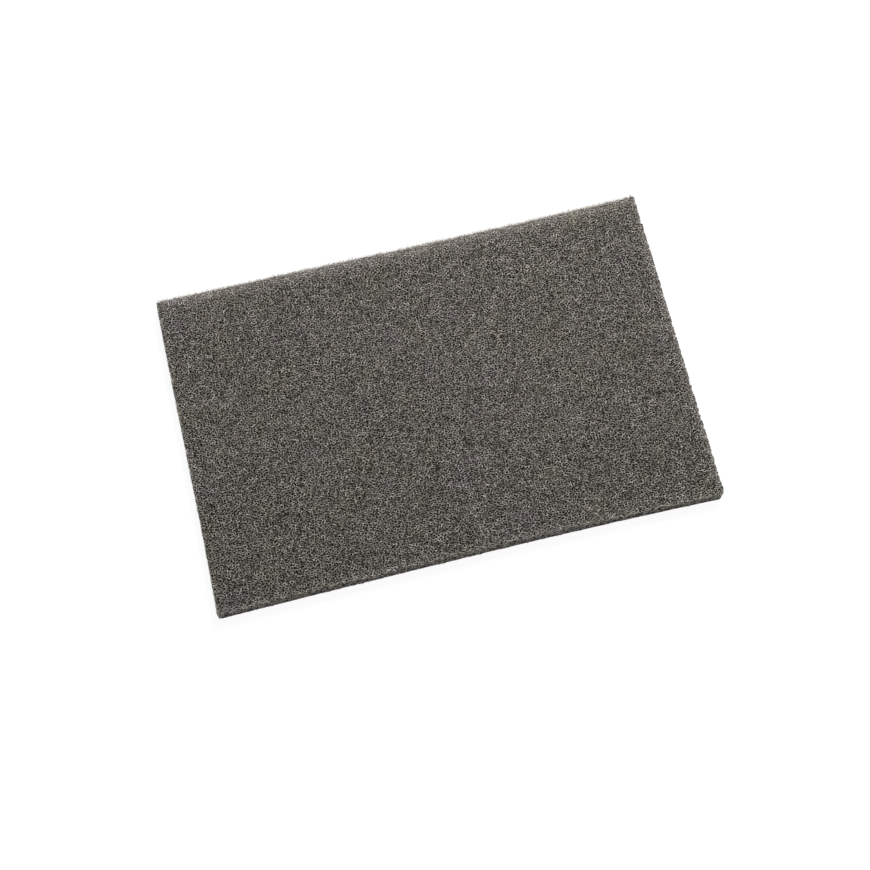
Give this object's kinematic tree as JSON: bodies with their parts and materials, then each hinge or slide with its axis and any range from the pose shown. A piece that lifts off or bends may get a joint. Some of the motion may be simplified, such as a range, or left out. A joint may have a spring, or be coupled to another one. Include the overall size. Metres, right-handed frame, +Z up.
{
  "type": "non-woven abrasive hand pad",
  "caption": "Flat rectangular hand pad of grey non-woven abrasive web, die-cut in one piece, for scouring, scuffing and deburring by hand.",
  "frame": {"origin": "middle of the underside, on the surface that the pad lies on", "axes": "+X along the long edges, +Y along the short edges towards the far long edge, +Z up through the thickness"},
  "size_m": [0.2294, 0.1546, 0.0078],
  "materials": {
    "abrasive_web": "matt grey bonded fibre web, open and slightly gritty"
  },
  "bodies": {
    "root": {"abrasive_pad": "abrasive_web"}
  },
  "joints": []
}
